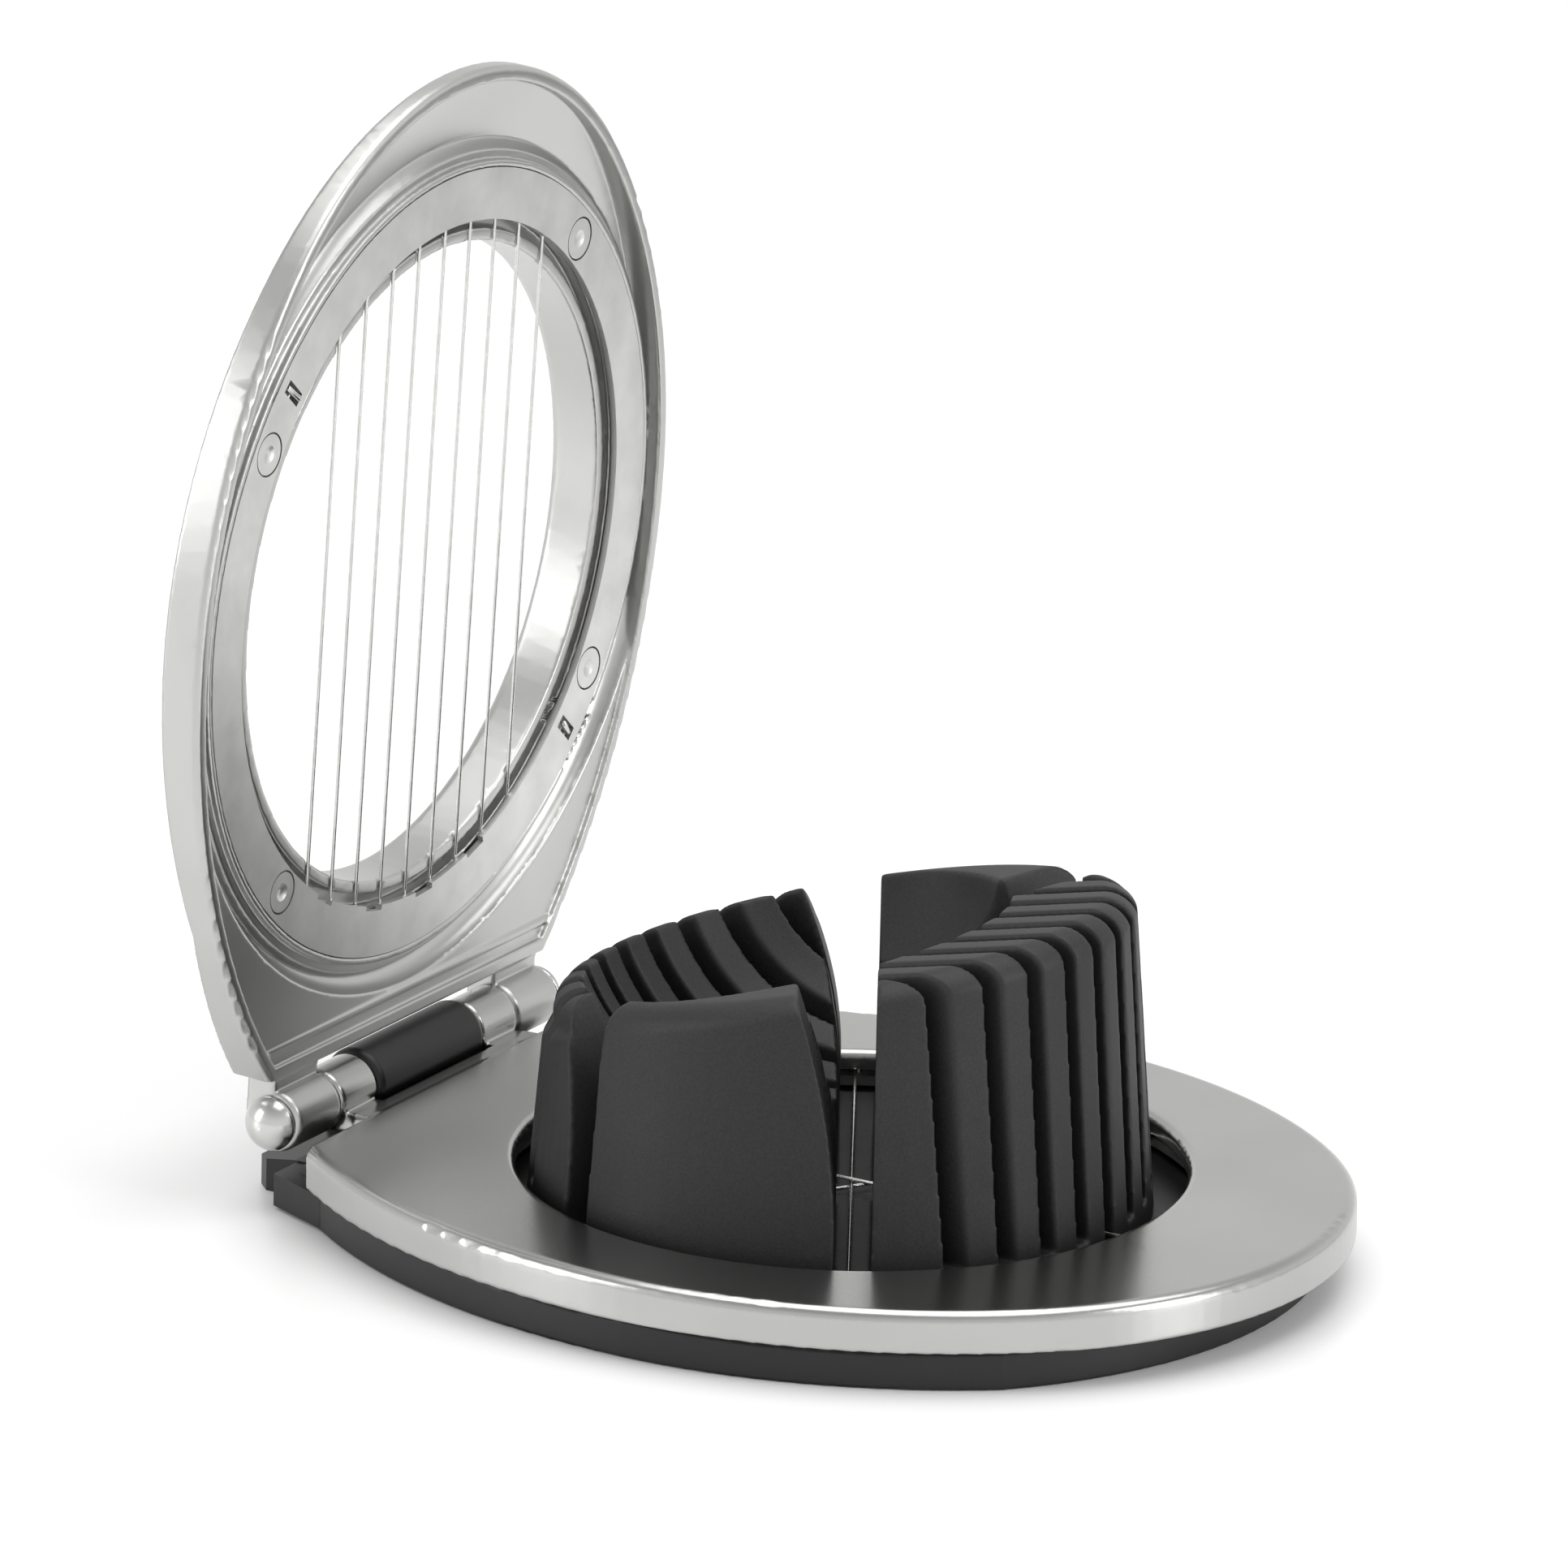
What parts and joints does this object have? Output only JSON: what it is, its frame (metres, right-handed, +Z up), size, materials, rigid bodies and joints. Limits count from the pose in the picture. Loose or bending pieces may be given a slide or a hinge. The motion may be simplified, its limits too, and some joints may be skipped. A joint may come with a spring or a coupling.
{
  "type": "egg slicer",
  "caption": "Open egg slicer and wedger: black base with a slotted, slanted egg cradle, hinged silver wedger frame with crossing wires, and a wired slicer arm standing up at the back",
  "frame": {"origin": "on the worktop, under the middle of the wedger frame's round opening", "axes": "+X from the hinge to the front tip, +Y along the hinge, +Z up"},
  "size_m": [0.1207, 0.0978, 0.1236],
  "materials": {
    "black_base": "black moulded plastic, satin, smooth inside the channel",
    "black_cradle": "black moulded plastic, matte with a fine grain",
    "satin_casting": "die-cast light alloy, satin silver plate, brighter at the edges and knuckles",
    "ring_casting": "bare light alloy, faintly brushed",
    "wire_steel": "drawn stainless wire",
    "pin_steel": "plated steel",
    "screw_steel": "zinc-plated steel",
    "pad_rubber": "dull soft rubber"
  },
  "bodies": {
    "base": {"base_plate": "black_base", "egg_cradle": "black_cradle", "hinge_pin": "pin_steel", "pin_domes": "pin_steel", "cradle_screws": "screw_steel", "foot_pads": "pad_rubber"},
    "wedger": {"wedger_frame": "satin_casting", "wedger_ring": "ring_casting", "wedge_wire_1": "wire_steel", "wedge_wire_2": "wire_steel", "wedge_wire_3": "wire_steel", "wedger_rivets": "ring_casting"},
    "slicer": {"slicer_frame": "satin_casting", "wire_ring": "ring_casting", "slicing_wire_1": "wire_steel", "slicing_wire_2": "wire_steel", "slicing_wire_3": "wire_steel", "slicing_wire_4": "wire_steel", "slicing_wire_5": "wire_steel", "slicing_wire_6": "wire_steel", "slicing_wire_7": "wire_steel", "slicing_wire_8": "wire_steel", "slicing_wire_9": "wire_steel", "wire_ties": "wire_steel", "ring_rivets": "ring_casting"}
  },
  "joints": [
    {"name": "wedger_hinge", "type": "hinge", "parent": "base", "child": "wedger", "pos_m": [-0.0576, 0, 0.0099], "axis": [0, -1, 0], "range_deg": [0, 75]},
    {"name": "slicer_hinge", "type": "hinge", "parent": "wedger", "child": "slicer", "pos_m": [-0.0576, 0, 0.0099], "axis": [0, -1, 0], "range_deg": [-87, 3]}
  ]
}
